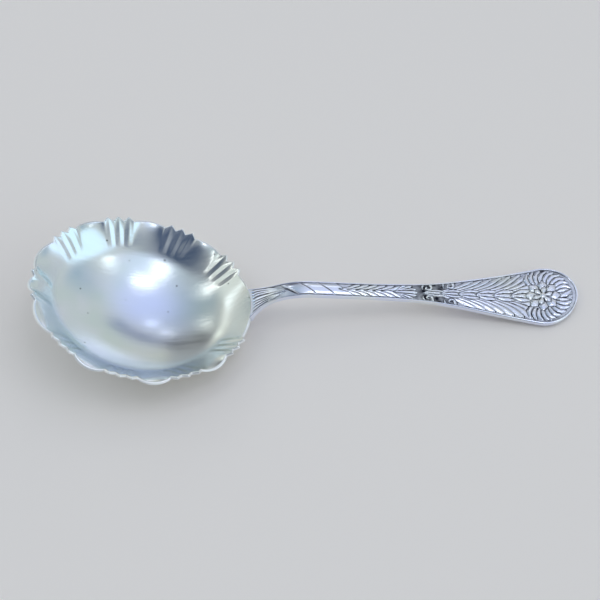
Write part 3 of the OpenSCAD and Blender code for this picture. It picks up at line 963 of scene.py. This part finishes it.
def round_patch(azimuth, elevation, inner, outer):
    """One within inner degrees of a direction of the room, fading to nothing at outer degrees."""
    spin = math.radians(azimuth)
    lift = math.radians(elevation)
    middle = (math.cos(lift) * math.cos(spin), math.cos(lift) * math.sin(spin), math.sin(lift))
    nearness = wire(tree, "ShaderNodeVectorMath", [look, middle], operation="DOT_PRODUCT").outputs["Value"]
    angle = wire(tree, "ShaderNodeMath", [nearness], operation="ARCCOSINE")
    fade = {"Value": angle, "From Min": math.radians(inner), "From Max": math.radians(outer)}
    fade |= {"To Min": 1.0, "To Max": 0.0}
    return wire(tree, "ShaderNodeMapRange", fade)


# Walls with a darker post and rail behind the spoon, and a lit strip low on the right
post_strength = 0.8
post = crossing(across=(-0.1, 0.1, 0.22), up=(0.35, 0.25, 0.65))
rail = crossing(across=(0.04, 0.4, 0.55), up=(0.55, 0.03, 0.11))
low_strip = crossing(across=(0.36, 0.06, 0.3), up=(0.04, 0.08, 0.2))
paler_post = wire(tree, "ShaderNodeMath", [post, post_strength], operation="MULTIPLY")
dim = wire(tree, "ShaderNodeMath", [paler_post, rail], operation="MAXIMUM")
room_layers = [
    ("post_and_rail", dim, (0.38, 0.41, 0.48, 1)),
    ("low_strip", low_strip, (1.2, 1.22, 1.45, 1)),
]
# Each soft round place: its name, azimuth and elevation, the degrees within which it is whole and at which
# it ends, and its light as linear red, green and blue, where 1 is white
for name, azimuth, elevation, inner, outer, colour in (
    ("window_right", -24, 13, 18, 28, (1.15, 1.38, 1.55, 1)),
    ("pale_wall_left", 168, 42, 5, 18, (1.0, 1.08, 1.08, 1)),
    ("lamp_left", 149, 30, 3, 10, (1.7, 1.85, 1.95, 1)),
    ("lamp_left_middle", 133, 29, 3, 9, (1.25, 1.32, 1.32, 1)),
    ("lamp_left_back", 118, 27, 3, 9, (1.5, 1.6, 1.55, 1)),
    ("dark_over_camera", -115, 52, 8, 48, (0.065, 0.10, 0.18, 1)),
    ("pale_ceiling_right", -22, 72, 8, 28, (0.92, 1.05, 1.25, 1)),
    ("dim_ceiling_left", 128, 68, 10, 36, (0.46, 0.56, 0.64, 1)),
    ("pale_ceiling_back", 32, 64, 12, 30, (0.80, 0.87, 1.05, 1)),
    ("dim_wall_back_right", 52, 34, 1, 9, (0.4, 0.45, 0.55, 1)),
    ("dark_gap_right", 91, 32, 1, 9.5, (0.12, 0.12, 0.13, 1)),
    ("dark_gap_left", 102, 34, 1, 9.5, (0.12, 0.12, 0.13, 1)),
    ("dim_wall_right", 11, 27, 2, 18, (0.48, 0.58, 0.70, 1)),
    ("small_lamp_right", 69, 50, 1, 5.5, (1.5, 1.6, 1.75, 1)),
    ("small_lamp_middle", 84, 43, 1, 5.5, (1.5, 1.55, 1.6, 1)),
    ("dark_under_lamp", 115, 40, 1, 6, (0.3, 0.31, 0.3, 1)),
    ("small_lamp_left", 112, 47, 1, 5, (1.9, 2.0, 2.05, 1)),
):
    room_layers.append((name, round_patch(azimuth, elevation, inner, outer), colour))
view = (0.73, 0.75, 0.74, 1)
for name, where, colour in room_layers:
    shade = {"Factor": where, "A": view, "B": colour}
    view = wire(tree, "ShaderNodeMix", shade, data_type="RGBA", label=name).outputs[2]
sky = wire(tree, "ShaderNodeBackground", {"Color": view, "Strength": light_level})
wire(tree, "ShaderNodeOutputWorld", [sky])

# Camera: above the table on the near side, at the photograph's angle and turn. Its lens shows the place it
# is aimed at in the photograph's own scale
camera_elevation = math.radians(55.333)
camera_turn = math.radians(4.299)
camera_far = 672.148
aim_x = 49.815
aim_y = 10.951
px_per_mm = 2.372
picture_px = 600
back_y = aim_y - camera_far * math.cos(camera_elevation)
eye = bpy.data.cameras.new("camera")
eye.sensor_width = 36
eye.lens = px_per_mm * camera_far / picture_px * eye.sensor_width
camera = bpy.data.objects.new("camera", eye)
camera.location = (
    (aim_x * math.cos(camera_turn) + back_y * math.sin(camera_turn)) * mm,
    (back_y * math.cos(camera_turn) - aim_x * math.sin(camera_turn)) * mm,
    camera_far * math.sin(camera_elevation) * mm,
)
camera.rotation_euler = (math.pi / 2 - camera_elevation, 0, -camera_turn)
bpy.context.collection.objects.link(camera)
bpy.context.scene.camera = camera
bpy.context.scene.view_settings.view_transform = "Standard"
